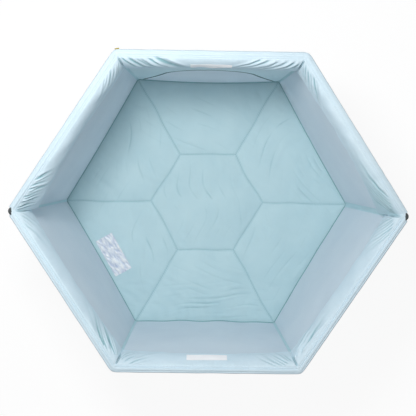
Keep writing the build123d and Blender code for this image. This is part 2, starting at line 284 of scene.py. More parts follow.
def soft_waves(x, y, seed, waves, shortest, longest):
    """Seeded sum of plane waves with lengths between two limits, scaled to about -1 to 1."""
    dice = np.random.default_rng(seed)
    angle, phase = dice.uniform(0, 2 * np.pi, (2, waves))
    length = dice.uniform(shortest, longest, waves)
    along = x[..., None] * np.cos(angle) + y[..., None] * np.sin(angle)
    return np.sin(2 * np.pi * along / length + phase).sum(axis=-1) / math.sqrt(waves)


# The sewn lines wander a little, and each edge is drawn in between its corners.
drawn_in = bow_of_edge(sector, share) * (ring / floor_rings) ** 8
wander = seam_wander * (1 - (ring / floor_rings) ** 6)
floor_points = np.zeros((len(plan), 3))
floor_points[:, :2] = plan - edge_out * drawn_in[:, None]
for axis, seed in enumerate((5, 6)):
    floor_points[:, axis] += wander * soft_waves(*plan.T, seed, *wander_waves)
fullness = 1 - np.exp(-((from_sewn / pad_reach) ** 1.2))
flutter = soft_waves(*plan.T, 11, *flutter_waves)
floor_points[:, 2] = seam_level + fullness * (pad_rise + pad_flutter * flutter)


def settle_cloth(points, faces, held, slack, push, steps):
    """Blender's cloth on a mesh whose held points stay: it grows by a slack share and is pushed upwards."""
    cloth = mesh_piece("settling", points, faces, bpy.data.materials.new("settling"))
    group = cloth.vertex_groups.new(name="held")
    for weight in np.unique(held):
        group.add(np.flatnonzero(held == weight).tolist(), float(weight), "REPLACE")
    modifier = cloth.modifiers.new("cloth", "CLOTH")
    settings = {
        "quality": 6, "mass": 0.2, "air_damping": 4.0, "shrink_min": -slack,
        "tension_stiffness": 20.0, "compression_stiffness": 20.0, "shear_stiffness": 8.0,
        "bending_stiffness": 0.08, "vertex_group_mass": "held", "pin_stiffness": 1.0,
    }
    for name, value in settings.items():
        setattr(modifier.settings, name, value)
    modifier.collision_settings.use_self_collision = False
    modifier.collision_settings.use_collision = False
    modifier.point_cache.frame_start = 1
    modifier.point_cache.frame_end = steps
    gravity = tuple(scene.gravity)
    scene.gravity = (0.0, 0.0, push)
    for step in range(1, steps + 1):
        scene.frame_set(step)
    shaped = cloth.evaluated_get(bpy.context.evaluated_depsgraph_get())
    settled = np.empty(len(points) * 3)
    shaped.data.vertices.foreach_get("co", settled)
    scene.gravity = gravity
    mesh = cloth.data
    bpy.data.objects.remove(cloth)
    bpy.data.meshes.remove(mesh)
    scene.frame_set(1)
    return settled.reshape(-1, 3)


def fill_lattice(coarse, passes):
    """Vectors at every lattice point from those at every second one: halfway means, then means of the six
    neighbours in a number of passes, with the sewn lines left at rest."""
    table = np.zeros((2 * floor_rings + 1, 2 * floor_rings + 1, 3))
    table[::2, ::2] = coarse
    table[1::2, ::2] = (coarse[:-1] + coarse[1:]) / 2
    table[::2, 1::2] = (coarse[:, :-1] + coarse[:, 1:]) / 2
    table[1::2, 1::2] = (coarse[1:, :-1] + coarse[:-1, 1:]) / 2
    free = np.zeros((2 * floor_rings + 1, 2 * floor_rings + 1, 1))
    free[row, column, 0] = from_sewn > sewn_within
    for _ in range(passes):
        mean = table[2:, 1:-1] + table[:-2, 1:-1] + table[1:-1, 2:] + table[1:-1, :-2]
        table[1:-1, 1:-1] = (mean + table[2:, :-2] + table[:-2, 2:]) / 6
        table = table * free
    return table[row, column]


cloth_points, cloth_faces = np.unique(lattice_faces(2), return_inverse=True)
cloth_faces = cloth_faces.reshape(-1, 3)
held = np.where(from_sewn[cloth_points] < sewn_within, 1.0, 0.0)
settled = settle_cloth(floor_points[cloth_points], cloth_faces, held, slack=0.004, push=0.4, steps=30)
coarse = np.zeros((floor_rings + 1, floor_rings + 1, 3))
coarse[row[cloth_points] // 2, column[cloth_points] // 2] = settled - floor_points[cloth_points]
floor_points = floor_points + np.clip(fill_lattice(coarse, 3), cloth_drop, cloth_rise)
floor_points[:, 2] = np.clip(floor_points[:, 2], pad_low, pad_high)

# Groups of floor wrinkles: their middle and reach, their angle in degrees, their spacing and their depth.
floor_wrinkles = (
    ((-0.03, 0.01), (0.14, 0.14), 92, 0.046, 0.9),
    ((-0.275, 0.22), (0.09, 0.12), 97, 0.04, 0.9),
    ((0.25, 0.25), (0.09, 0.14), 66, 0.048, 0.9),
    ((0.42, 0.09), (0.08, 0.11), 126, 0.024, 0.8),
    ((-0.4, 0.05), (0.09, 0.07), 66, 0.026, 0.6),
    ((-0.22, -0.19), (0.1, 0.14), 86, 0.046, 0.8),
    ((0.02, -0.39), (0.2, 0.07), 5, 0.021, 1.0),
    ((0.01, -0.29), (0.13, 0.07), 158, 0.03, 0.8),
    ((0.33, -0.25), (0.09, 0.13), 58, 0.04, 0.7),
    ((0.18, -0.11), (0.07, 0.09), 82, 0.044, 0.7),
    ((-0.04, 0.3), (0.19, 0.11), 152, 0.044, 0.6),
)


def wrinkle_field(x, y, seed, middle, reach, angle, spacing):
    """Nearly parallel creases in a soft round window: narrow valleys one spacing apart, whose lines are bent
    by slow waves, and whose depth comes and goes. Gives the valleys and the fullness between them."""
    along = x * math.cos(angle) + y * math.sin(angle)
    across = y * math.cos(angle) - x * math.sin(angle)
    window = np.exp(-((((x - middle[0]) / reach[0]) ** 2 + ((y - middle[1]) / reach[1]) ** 2) ** 1.5))
    phase = across / spacing + wrinkle_bend * soft_waves(along, across / 2, seed, *bend_waves)
    change = soft_waves(along / 3.5, across, seed + 1, *change_waves)
    strength = np.clip(wrinkle_mean + wrinkle_change * change, 0, wrinkle_most)
    valley = bell(np.sin(np.pi * phase), wrinkle_width / spacing)
    return window * strength * valley, window * strength * np.sin(np.pi * phase) ** 2


valleys, swells = np.zeros(len(plan)), np.zeros(len(plan))
for number, (middle, reach, angle, spacing, depth) in enumerate(floor_wrinkles):
    valley, swell = wrinkle_field(*plan.T, 200 + 10 * number, middle, reach, math.radians(angle), spacing)
    valleys, swells = valleys + depth * valley, swells + depth * swell
unsewn = 1 - bell(from_sewn, wrinkle_clear)
# Painted shade: the wrinkles' valleys take a share of the floor's darker colour, for the shade that falls in
# them.
floor_painted_shade = np.clip(0.55 * valleys * unsewn, 0, 0.7)
floor_points[:, 2] += unsewn * wrinkle_height * (swells - valleys)
floor_points[:, 2] -= seam_sink * bell(from_seam, seam_width)

# Normals of the whole floor, so that its sectors meet without a crease, and each triangle's sector.
corners = floor_points[floor_faces]
face_ways = np.cross(corners[:, 1] - corners[:, 0], corners[:, 2] - corners[:, 0])
floor_normals = np.zeros_like(floor_points)
for corner in range(3):
    np.add.at(floor_normals, floor_faces[:, corner], face_ways)
floor_normals = unit(floor_normals)
face_middle = plan[floor_faces].mean(axis=1)
face_sector = (np.arctan2(face_middle[:, 1], face_middle[:, 0]) % (2 * np.pi) / (np.pi / 3)).astype(int)


def maths(operation, first, second=0.0):
    """One sum on shader values: the operation's name, and its one or two values."""
    return node(first.id_data, "Math", {0: first, 1: second}, operation=operation).outputs["Value"]


def point_value(tree, name):
    """The number that a piece keeps at each of its points, as a shader value."""
    return node(tree, "Attribute", attribute_name=name).outputs["Fac"]


def woven(place, thread_pitch):
    """Plain weave: the product of two sine ripples, square to each other, one thread pitch apart."""
    split = node(place.id_data, "SeparateXYZ", {"Vector": place}).outputs
    turns = [maths("MULTIPLY", split[axis], 2 * math.pi / thread_pitch) for axis in ("X", "Y")]
    return maths("MULTIPLY", maths("SINE", turns[0]), maths("SINE", turns[1]))


def stitch_mark(tree):
    """1 on a piece's stitch lines and 0 elsewhere: a line on each seam, and dashes one stitch beside it."""
    stitch = 0.0042
    seam = point_value(tree, "seam")
    row = maths("ABSOLUTE", maths("SUBTRACT", seam, stitch))
    dash = maths("SINE", maths("MULTIPLY", point_value(tree, "run"), 2 * math.pi / stitch))
    dash = maths("MULTIPLY", maths("GREATER_THAN", dash, -0.4), maths("LESS_THAN", row, 0.0005))
    return maths("MAXIMUM", map_range(seam, 0.0002, 0.0019, 1.0, 0.0), dash)


def cloth_place(tree):
    """A piece's own cloth coordinates, in metres."""
    return node(tree, "UVMap", uv_map="cloth").outputs["UV"]


def woven_cloth(name, pale, deep, roughness, sheen, painted_shade_and_thread=None, stitched=False):
    """Woven polyester: soft mottling, a plain weave and, where a darker colour is given, painted shade of
    that colour in the hollows, by the share that the piece keeps at each point. Stitched cloth has stitch
    thread of that colour too, and a coarser weave."""
    material, tree, shader = finish(name, pale, roughness)
    whole = object_place(tree)
    if stitched:
        place, cloud, grain, swing, thread_pitch, depth = whole, 9.0, 30.0, 0.06, 0.0011, 0.00006
    else:
        place, cloud, grain, swing, thread_pitch, depth = cloth_place(tree), 8.0, 40.0, 0.05, 0.0009, 0.00005
    colour = tint(mottle(whole, cloud), pale, deep)
    if painted_shade_and_thread is not None:
        colour = tint(point_value(tree, "painted_shade_and_thread"), colour, painted_shade_and_thread)
    if stitched:
        colour = tint(stitch_mark(tree), colour, painted_shade_and_thread)
    rough = mottle(place, grain, roughness - swing, roughness + swing)
    feed(shader, {"Base Color": colour, "Roughness": rough, "Sheen Weight": sheen, "Sheen Roughness": 0.4})
    relief(shader, woven(place, thread_pitch), depth)
    return material


# The floor's darker colour serves as its stitch thread and as the shade painted into its wrinkles.
floor_cloth = woven_cloth(
    "floor_cloth", dye(202, 228, 233), dye(194, 222, 228), 0.72, 0.25,
    painted_shade_and_thread=dye(150, 191, 198), stitched=True,
)
for side in range(6):
    used, faces = np.unique(floor_faces[face_sector == side], return_inverse=True)
    faces = faces.reshape(-1, 3)
    total = len(used)
    edges = faces[:, [0, 1, 1, 2, 2, 0]].reshape(-1, 2)
    key = np.sort(edges, axis=1) @ [total, 1]
    unique_keys, uses = np.unique(key, return_counts=True)
    border, ends = np.unique(edges[np.isin(key, unique_keys[uses == 1])], return_inverse=True)
    start, stop = ends.reshape(-1, 2).T
    top = floor_points[used]
    bottom = np.concatenate([top[border], top.mean(axis=0, keepdims=True)])
    bottom = bottom * [1, 1, 0] + [0, 0, floor_underside]
    walls = np.concatenate(
        [
            np.stack([border[stop], border[start], start + total], axis=1),
            np.stack([border[stop], start + total, stop + total], axis=1),
            np.stack([stop + total, start + total, np.full(len(start), total + len(border))], axis=1),
        ]
    )
    top_count = len(faces)
    faces = np.concatenate([faces, walls])
    panel = mesh_piece(f"quilted_floor_{side + 1}", np.concatenate([top, bottom]), faces, floor_cloth)
    # The seam and run numbers place the stitch thread; the third number is the share of painted shade.
    marks = ("seam", from_seam, 1.0), ("run", stitch_run, 1.0), ("painted_shade_and_thread", floor_painted_shade, 0.0)
    for name, values, below in marks:
        numbers_on(panel, name, np.append(values[used], np.full(len(bottom), below)))
    normals = np.zeros((len(faces) * 3, 3))
    normals[: top_count * 3] = floor_normals[used][faces[:top_count].ravel()]
    panel.data.normals_split_custom_set(normals.tolist())
    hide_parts(f"floor_panel_{side + 1}")
    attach(panel, f"floor_{side + 1}")
    gather(panel)

# Mesh walls
# Fine knitted mesh, hung behind the rim's inner skirt and sewn to the floor's edge under a dark binding.
# The door side has a woven surround instead, with an arch cut out for the door.
wall_hang = -0.0189
wall_top, wall_bend, wall_foot = 0.622, 0.530, 0.0085
wall_sag, wall_thickness = 0.006, 0.0011


def inset_corners(offset):
    """Corners of the post outline with every side moved out by an offset."""
    return posts + corner_out * (offset / np.sum(corner_out * side_out, axis=1))[:, None]


def floor_corner(k):
    """Corner k of the floor's regular outline."""
    return floor_radius * sixth_way(k)


def ramp(distance, reach):
    """0 up to no distance, 1 from a reach on, and straight between."""
    return np.clip(distance / reach, 0, 1)


def wall_down(height):
    """How far down a wall a height is: 0 at the bend below the rim, 1 at the floor's edge."""
    return ramp(wall_bend - height, wall_bend - wall_foot)


def raised(plan_place, level):
    """Points from their places in plan and their levels."""
    return np.concatenate([plan_place, level[..., None]], axis=-1)


def wall_points(side, share, height):
    """Wall cloth at a share of its width and a height: straight behind the rim, then a plane down to the
    floor's edge, drawn inwards by a shallow sag between its seams."""
    hung = inset_corners(wall_hang)
    after = (side + 1) % 6
    top_line = hung[side] + (hung[after] - hung[side]) * share[..., None]
    foot_line = floor_corner(side) + (floor_corner(after) - floor_corner(side)) * share[..., None]
    foot_line = foot_line - sixth_way(side + 0.5) * bow_of_edge(side, share)[..., None]
    down = wall_down(height)
    sag = wall_sag * np.sin(np.pi * share) ** 0.7 * np.sin(np.pi * down)
    plan_place = top_line * (1 - down[..., None]) + foot_line * down[..., None]
    return raised(plan_place - side_out[side] * sag[..., None], height)


def grid_faces(rows, columns):
    """Four-sided faces between neighbours on a grid of points."""
    index = np.arange(rows * columns).reshape(rows, columns)
    corners = [index[:-1, :-1], index[1:, :-1], index[1:, 1:], index[:-1, 1:]]
    return np.stack(corners, axis=-1).reshape(-1, 4)


def grid_piece(name, points, material, uv=None, turned=False):
    """A piece from a grid of points and its two cloth coordinates, turned over where asked."""
    faces = grid_faces(*points.shape[:2])
    if uv is not None:
        uv = np.stack(np.broadcast_arrays(*uv), axis=-1).reshape(-1, 2)
    return mesh_piece(name, points.reshape(-1, 3), faces[:, ::-1] if turned else faces, material, uv)


def thicken(piece, thickness, offset=0.0):
    """Give a sheet its cloth's thickness, with crisp cut edges."""
    mesh = piece.data
    edge_of_corner = np.empty(len(mesh.loops), dtype=np.int32)
    mesh.loops.foreach_get("edge_index", edge_of_corner)
    cut = np.bincount(edge_of_corner, minlength=len(mesh.edges)) == 1
    mesh.edges.foreach_set("use_edge_sharp", cut)
    solid = piece.modifiers.new("cloth_thickness", "SOLIDIFY")
    solid.thickness = thickness
    solid.offset = offset


def knitted(name, pale, deep, roughness):
    """Fine knitted mesh: rows of small eyelets as relief and slight shade, and a little see-through."""
    material, tree, shader = finish(name, pale, roughness)
    grid = {"Vector": cloth_place(tree), "Scale": 620.0, "Randomness": 0.12}
    eyelets = node(tree, "TexVoronoi", grid, voronoi_dimensions="2D")
    hole = map_range(eyelets.outputs["Distance"], 0.15, 0.4)
    cloud = mottle(object_place(tree), 7.0, 0.0, 0.5)
    shade = maths("ADD", maths("MULTIPLY", hole, 0.5), cloud)
    feed(shader, {"Base Color": tint(shade, deep, pale), "Alpha": 0.84, "Sheen Weight": 0.15})
    relief(shader, hole, 0.0002)
    return material


wall_mesh = knitted("wall_mesh", dye(230, 243, 252), dye(215, 231, 243), 0.8)
wall_columns, wall_rows = 61, 60
share, height = np.meshgrid(np.linspace(0, 1, wall_columns), np.linspace(wall_top, wall_foot, wall_rows))
for side in (0, 2, 3, 4, 5):
    points = wall_points(side, share, height)
    wall = grid_piece(f"knitted_wall_{side + 1}", points, wall_mesh, (share * post_spacing, height))
    thicken(wall, wall_thickness)
    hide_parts(f"mesh_wall_{side + 1}")
    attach(wall, f"post_{side + 1}")
    gather(wall)

# Door
# A mesh flap in an arched opening, held by a zip that runs up one leg, over the top and down the other.
# The flap is sewn to the wall along its foot and falls outwards when the zip is undone.
arch_foot, arch_datum = 0.0205, 0.020
arch_half_width = 0.252
arch_centre, arch_radius = 0.272, 0.165
flap_gap = 0.004
foot_drop = arch_centre - arch_datum
leg_angle = math.atan2(foot_drop, -arch_half_width)
leg_angle = leg_angle - math.asin(arch_radius / math.hypot(arch_half_width, foot_drop))
leg_across, leg_up = math.cos(leg_angle), math.sin(leg_angle)


def arch_half(height, grow):
    """Half the arch's width at a height, with the arch moved out by grow: a straight leg, then a circle."""
    reach = arch_radius + grow
    shoulder = arch_centre - reach * leg_across
    leg = arch_half_width + (grow + (height - arch_datum) * leg_across) / leg_up
    crown = np.sqrt(np.maximum(reach**2 - (height - arch_centre) ** 2, 0.0))
    return np.where(height < shoulder, leg, crown)


def door_wall_place(across, height):
    """A point of the door wall by its distance across from the wall's middle, towards -X, and its height."""
    half = wall_half(height)
    share = np.clip(0.5 + across / (2 * half), 0, 1)
    return wall_points(1, share, height)


def wall_half(height):
    """Half the door wall's width at a height."""
    hung = inset_corners(wall_hang)
    top_half = np.linalg.norm(hung[2] - hung[1]) / 2
    return top_half + (floor_radius / 2 - top_half) * wall_down(height)


surround_cloth = woven_cloth("surround_cloth", dye(212, 234, 240), dye(204, 227, 234), 0.7, 0.2)
crown_height = arch_centre + arch_radius + flap_gap
levels = np.concatenate(
    [
        np.linspace(wall_foot, arch_foot - 0.0005, 4),
        arch_foot + (crown_height - arch_foot) * np.sin(np.linspace(0, np.pi / 2, 80)),
        np.linspace(crown_height, wall_top, 24)[1:],
    ]
)
beside_arch = (levels >= arch_foot) & (levels < crown_height)
gap_half = np.where(beside_arch, arch_half(levels, flap_gap), 0.0)
hands = np.array([-1, 1])[:, None, None]
across = hands * (gap_half[:, None] + (wall_half(levels) - gap_half)[:, None] * np.linspace(0, 1, 40))
rows = np.broadcast_to(levels[:, None], across.shape)
quads = grid_faces(*across.shape[1:])
faces = np.concatenate([quads[:, ::-1], quads + across[0].size])
uv = np.stack([across, rows], axis=-1).reshape(-1, 2)
points = door_wall_place(across, rows).reshape(-1, 3)
surround = mesh_piece("door_surround", points, faces, surround_cloth, uv)
thicken(surround, wall_thickness)
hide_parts("mesh_wall_2")
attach(surround, "post_2")
gather(surround)

flap_rise = arch_centre + arch_radius - flap_gap - arch_foot
flap_levels = arch_foot + flap_rise * np.sin(np.linspace(0, np.pi / 2 - 0.01, 90))
across = arch_half(flap_levels, -flap_gap)[:, None] * np.linspace(-1, 1, 81)
rows = np.broadcast_to(flap_levels[:, None], across.shape)
flap = grid_piece("mesh_door", door_wall_place(across, rows), wall_mesh, (across, rows))
thicken(flap, wall_thickness)
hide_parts("door_flap")
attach(flap, "door")
gather(flap)

# The zip's line runs up one leg, round the crown and down the other; its section is a tape with a coil on it.
# The tape's dark teal is partly its own colour and partly painted shadow, for the shade in the gap round the
# flap.
zip_tape = woven_cloth("zip_tape", dye(66, 112, 112), dye(56, 98, 100), 0.75, 0.1)
leg_length = (arch_centre - arch_radius * leg_across - arch_foot) / leg_up
lean = leg_angle - math.pi / 2
crown_length = arch_radius * (math.pi - 2 * lean)
zip_length = 2 * leg_length + crown_length
coil_pitch, coil_depth = 0.003, 0.0008
run = np.linspace(0, zip_length, int(zip_length / coil_pitch * 4))
bearing = lean + np.clip(run - leg_length, 0, crown_length) / arch_radius
out_across, out_up = -np.cos(bearing), np.sin(bearing)
first_leg = np.minimum(run, leg_length)
last_leg = np.maximum(run - leg_length - crown_length, 0)
foot_across = arch_half_width + (arch_foot - arch_datum) * leg_across / leg_up
past_leg = run > leg_length
crown_across, crown_up = arch_radius * out_across, arch_centre + arch_radius * out_up
path_across = np.where(past_leg, crown_across - last_leg * leg_across, -foot_across - first_leg * leg_across)
path_up = np.where(past_leg, crown_up - last_leg * leg_up, arch_foot + first_leg * leg_up)
coil = 0.5 + 0.5 * np.sin(2 * np.pi * run / coil_pitch)
section_across = np.array([-33, -24, -24, -12, 0, 12, 24, 24, 52, 52, -33]) * 1e-4
section_out = np.array([7, 7, 10, 19, 23, 19, 10, 7, 7, -6, -6]) * 1e-4
is_coil = np.array([0, 0, 0.5, 1, 1, 1, 0.5, 0, 0, 0, 0])
proud = section_out - coil_depth * is_coil * coil[:, None]
across = path_across[:, None] + out_across[:, None] * section_across
rows = path_up[:, None] + out_up[:, None] * section_across
zip_points = door_wall_place(across, rows) + proud[..., None] * np.array([*side_out[1], 0.0])
zip_piece = grid_piece("door_zip_coil", zip_points, zip_tape, (run[:, None], section_across), turned=True)
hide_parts("door_zip")
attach(zip_piece, "post_2")
gather(zip_piece)

# Bindings
# A dark welt along each floor edge, and a folded tape up each corner where two walls are sewn together.
# The tapes are of the floor's cloth; webbing straps tie the floor's corners to the foot hubs.
binding_cloth = woven_cloth("binding_cloth", dye(138, 182, 188), dye(128, 172, 178), 0.75, 0.1)
welt_radius, welt_shift = 0.0024, 0.001
tape_thickness, strap_thickness = 0.0009, 0.0014
welt_share = np.linspace(0, 1, 121)
welt_level = np.full_like(welt_share, wall_foot + welt_shift)
around = np.linspace(0, 2 * np.pi, 13)
for side in range(6):
    inwards = np.array([*-sixth_way(side + 0.5), 0.0])
    ring_place = np.cos(around)[:, None] * inwards + np.sin(around)[:, None] * np.array([0, 0, 1.0])
    path = wall_points(side, welt_share, welt_level) + inwards * welt_shift
    points = path[:, None, :] + welt_radius * ring_place
    uv = (welt_share[:, None] * floor_radius, around * welt_radius)
    welt = grid_piece(f"floor_welt_{side + 1}", points, binding_cloth, uv, turned=True)
    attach(welt, f"post_{side + 1}")
    gather(welt)

tape_cloth = woven_cloth("corner_tape_cloth", dye(190, 220, 227), dye(180, 211, 219), 0.7, 0.2)
tape_halves = (0.0115, 0.0055, 0.0055, 0.0052, 0.0052, 0.0055)
tape_low, tape_high = 0.012, 0.600
tape_proud, tape_ridge, tape_ridge_width = 0.0012, 0.0026, 0.35
tape_height = np.linspace(tape_low, tape_high, 70)
tape_across = np.linspace(-1, 1, 17)
tape_fold = tape_ridge * bell(tape_across, tape_ridge_width) + tape_proud
for k, tape_half in enumerate(tape_halves):
    line = wall_points(k, np.zeros_like(tape_height), tape_height)
    ways = np.where(tape_across[:, None] >= 0, side_way[k], -side_way[k - 1])
    spread = ways * (np.abs(tape_across) * tape_half)[:, None] - corner_out[k] * tape_fold[:, None]
    points = line[:, None, :] + raised(spread, np.zeros_like(tape_across))
    uv = (tape_across * tape_half, tape_height[:, None])
    tape = grid_piece(f"corner_tape_{k + 1}", points, tape_cloth, uv)
    thicken(tape, tape_thickness)
    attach(tape, f"post_{k + 1}")


def laid_out(start, way, along, across):
    """Plan of a flat piece: distances from its start along a direction, and across it to the left."""
    return start + way * along[..., None] + np.array([-way[1], way[0]]) * across[..., None]


strap_width, hub_reach = 0.018, 0.0156
strap_along, strap_across = np.meshgrid(np.linspace(0, 1, 25), np.linspace(-0.5, 0.5, 7))
strap_low, strap_rise = 0.0105, 0.0085
strap_level = strap_low + strap_rise * strap_along
for k in range(6):
    pull = posts[k] - floor_corner(k)
    strap_length = float(np.linalg.norm(pull)) - hub_reach
    uv = (strap_along * strap_length, strap_across * strap_width)
    points = raised(laid_out(floor_corner(k), unit(pull), *uv), strap_level)
    strap = grid_piece(f"corner_strap_{k + 1}", points, binding_cloth, uv)
    thicken(strap, strap_thickness)
    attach(strap, f"post_{k + 1}")

# Rim covers
# A woven band folded over the post tops and down over a padded roll on the inside, to an arched hem.
# Each side's band is sewn to the next in a pinched dart, and two corners are cut open round a post's cap.
rim_out, rim_crest, rim_in = 0.0155, 0.0020, -0.0345
rim_top, roll_foot = 0.6596, 0.5950
top_round = 0.0105
hem_middle, hem_end, hem_curl = 0.5870, 0.5400, 0.0060
outer_hem_middle, outer_hem_end = 0.5880, 0.5390
channel_in = -0.0205
rim_spine, turn_radius, turn_run, mitre_crowd = -0.0108, 0.0268, 1.4, 1.6
rim_thickness, skirt_flare = 0.0014, 0.001

# Roundness of each side's roll, which ends alike at every corner, and depth of the ridges stitched along it.
end_power, power_reach = 2.5, 0.10
roll_powers = (2.5, 2.5, 2.5, 1.45, 1.45, 1.45)
ridge_shares = (1.0, 1.0, 1.0, 1.8, 1.8, 1.8)
ridge_lines = ((0.0085, 0.0012), (-0.0035, 0.0022), (-0.0085, 0.0016))

# Posts whose caps show through a cut in the rim, and how far the cut runs along each band.
open_corners, cap_cut = (0, 3), 0.0115
cut_out, cut_out_fade, cut_level, cut_level_fade = 0.001, 0.004, 0.630, 0.012

# Sides whose skirt is pulled inwards near one corner: that corner, 1 at the side's start or -1 at its end,
# and the share of painted shade that darkens the leaning skirt's colour.
leaning_ends = {0: (1, 0.42), 2: (-1, 0.04)}
lean_depth, lean_reach, lean_start, lean_power = 0.016, 0.22, 0.012, 1.30
shade_start, shade_fade = 0.012, 0.020

# Relief of a band's cloth: where it is calm or full, where folds may start, the rows on top, the puckers
# beside the ridges, the hem's stitching, the dart pinched in at each end, and the painted shade's shares.
calm_reach, inside_reach = 0.010, 0.020
full_least, full_inside, full_waves = 0.0003, 0.0007, (14, 0.035, 0.15)
fold_start, fold_fade, fold_shade = 0.006, 0.014, 300.0
top_depth, ridge_width = 0.012, 0.0015
pucker_pitch, pucker_height, pucker_waves = 0.013, 0.0003, (6, 0.03, 0.12)
pucker_out, pucker_width, pucker_drift = -0.013, 0.007, 2.0
stitch_gap, stitch_depth, stitch_width = 0.008, 0.0006, 0.0018
pinch_start, pinch_fade, pinch_end, pinch_tail, pinch_least = 0.010, 0.016, 0.085, 0.030, 0.25
dart_depth, dart_place, dart_width, dart_reach = 0.0055, 0.0045, 0.0028, 0.0095
dart_shade, deepest_shade = 0.8, 0.8

# Pull creases at each band's two ends: how many, their least and greatest angle in degrees, how far along
# the band they start, how far down the seam they start, and their depth, length and width.
rim_fans = (
    ((8, 16, 36, 0.105, 0.026, 0.0056, 0.085, 0.0027), (6, 25, 50, 0.08, 0.02, 0.0026, 0.055, 0.0042)),
    ((6, 28, 44, 0.15, 0.012, 0.005, 0.085, 0.0058), (7, 28, 44, 0.15, 0.012, 0.005, 0.085, 0.0058)),
    ((6, 25, 50, 0.09, 0.02, 0.0026, 0.055, 0.0042), (18, 36, 58, 0.13, 0.012, 0.0046, 0.036, 0.0034)),
    ((4, 20, 45, 0.06, 0.015, 0.0017, 0.05, 0.0042), (11, 8, 36, 0.09, 0.036, 0.005, 0.065, 0.0042)),
    ((6, 25, 55, 0.07, 0.03, 0.0026, 0.05, 0.0042), (6, 25, 55, 0.07, 0.03, 0.0026, 0.05, 0.0042)),
    ((10, 4, 24, 0.08, 0.036, 0.0052, 0.075, 0.0044), (7, 12, 40, 0.07, 0.03, 0.003, 0.055, 0.0042)),
)


def rim_ends(side):
    """A rim band's half turns at its two ends, and its length along the spine."""
    after = (side + 1) % 6
    first = math.acos(float(corner_out[side] @ side_out[side]))
    last = math.acos(float(corner_out[after] @ side_out[side]))
    corners = inset_corners(rim_spine)
    straight = float(np.linalg.norm(corners[after] - corners[side]))
    return first, last, straight + (first + last) * turn_radius


def rim_place(side, run, out):
    """Plan of a rim band at a run along it and a distance out: outside its spine the band turns about the
    spine's corners, and inside it is mitred, with the run crowded into the mitre by a tanh at each end."""
    first, last, length = rim_ends(side)
    inner = np.minimum(out, rim_spine)
    mitred = rim_spine - inner
    first_loss, last_loss = (turn * turn_radius + mitred * math.tan(turn) for turn in (first, last))
    slid = run - first_loss * np.tanh(run / (mitre_crowd * first_loss))
    slid = slid - last_loss * (1 - np.tanh((length - run) / (mitre_crowd * last_loss)))
    mitre = posts[side] + corner_out[side] * (inner / math.cos(first))[..., None]
    bearing = math.atan2(side_out[side][1], side_out[side][0])
    for turn, from_end, hand in ((first, run, -1), (last, length - run, 1)):
        turned = np.sin(np.pi / 2 * ramp(from_end, turn_run * turn * turn_radius))
        bearing = bearing + hand * turn * (1 - turned)
    way = np.stack([np.cos(bearing), np.sin(bearing)], axis=-1)
    return mitre + side_way[side] * slid[..., None] + way * np.maximum(out - rim_spine, 0)[..., None]


def rim_profile(hem_inside, hem_outside, power, lean):
    """Distance out and height of a band's rows: outer skirt, rounded edge up to the crest, a quarter of
    a superellipse down the roll, a straight drop to the hem, and the hem's curl back under the roll.
    Where the skirt leans, the roll is wider and straighter and reaches the hem."""
    quarter = np.pi / 2
    rows = ((1, 24), (quarter, 18), (quarter, 56), (1, 12))
    skirt, edge, roll, drop = (np.linspace(0, end, count, endpoint=False)[:, None] for end, count in rows)
    curl = np.linspace(0, np.pi, 10)[:, None]
    even = np.ones_like(hem_inside)[None, :]
    inner = rim_in - lean_depth * lean
    foot = roll_foot + (hem_inside + hem_curl - roll_foot) * lean
    power = 2 / (power + (lean_power - power) * lean)
    out = [
        (rim_out - skirt_flare * (1 - skirt)) * even,
        (rim_out - top_round * (1 - np.cos(edge))) * even,
        rim_crest - (rim_crest - inner) * np.sin(roll) ** power,
        inner + 0 * drop,
        inner + (channel_in - inner) / 2 * (1 - np.cos(curl)),
    ]
    level = [
        hem_outside + (rim_top - top_round - hem_outside) * skirt,
        (rim_top - top_round * (1 - np.sin(edge))) * even,
        foot + (rim_top - foot) * np.cos(roll) ** power,
        foot + (hem_inside + hem_curl - foot) * drop,
        hem_inside + hem_curl * (1 - np.sin(curl)),
    ]
    return np.concatenate(out), np.concatenate(level)


def creases(along, up, marks):
    """Sum of long folds: each mark gives a start, an angle, a length, a width and a rise. A fold is a ridge
    with a valley beside it, sharp at its start and fading along a slight curl."""
    total = np.zeros_like(along)
    for place_along, place_up, angle, length, width, rise in marks:
        forward = (along - place_along) * math.cos(angle) + (up - place_up) * math.sin(angle)
        sideways = (up - place_up) * math.cos(angle) - (along - place_along) * math.sin(angle)
        sideways = sideways - 0.10 * forward**2 / length
        spread = width * (0.8 + 0.5 * np.clip(forward / length, 0, 2))
        fade = bell(forward, np.where(forward > 0, length, 0.010))
        ridge = bell(sideways, spread) - 0.8 * bell(sideways + 1.5 * spread, spread)
        total += rise * fade * ridge
    return total


def rim_marks(side, length):
    """A band's pull creases, seeded by its side: they start at the seam or the ridge and run to the hem."""
    dice = np.random.default_rng(40 + side)
    marks = []
    for hand, (number, least, most, reach, seam, depth, extent, width) in zip((1, -1), rim_fans[side]):
        for share in (np.arange(number) + 0.5) / number:
            distance = 0.014 + reach * share + dice.uniform(0, 0.008)
            angle = math.radians(most + (least - most) * share + dice.uniform(-4, 4))
            start_up = -0.014 - seam * (1 - share) + dice.uniform(-0.004, 0.004)
            start_along = distance if hand > 0 else length - distance
            heading = -angle if hand > 0 else angle - math.pi
            extents = extent * dice.uniform(0.7, 1.3), width * dice.uniform(0.75, 1.25)
            marks.append((start_along, start_up, heading, *extents, hand * depth * dice.uniform(0.6, 1.1)))
    return marks


def eased(share):
    """A share held between 0 and 1, and made level at both."""
    share = np.clip(share, 0, 1)
    return share * share * (3 - 2 * share)
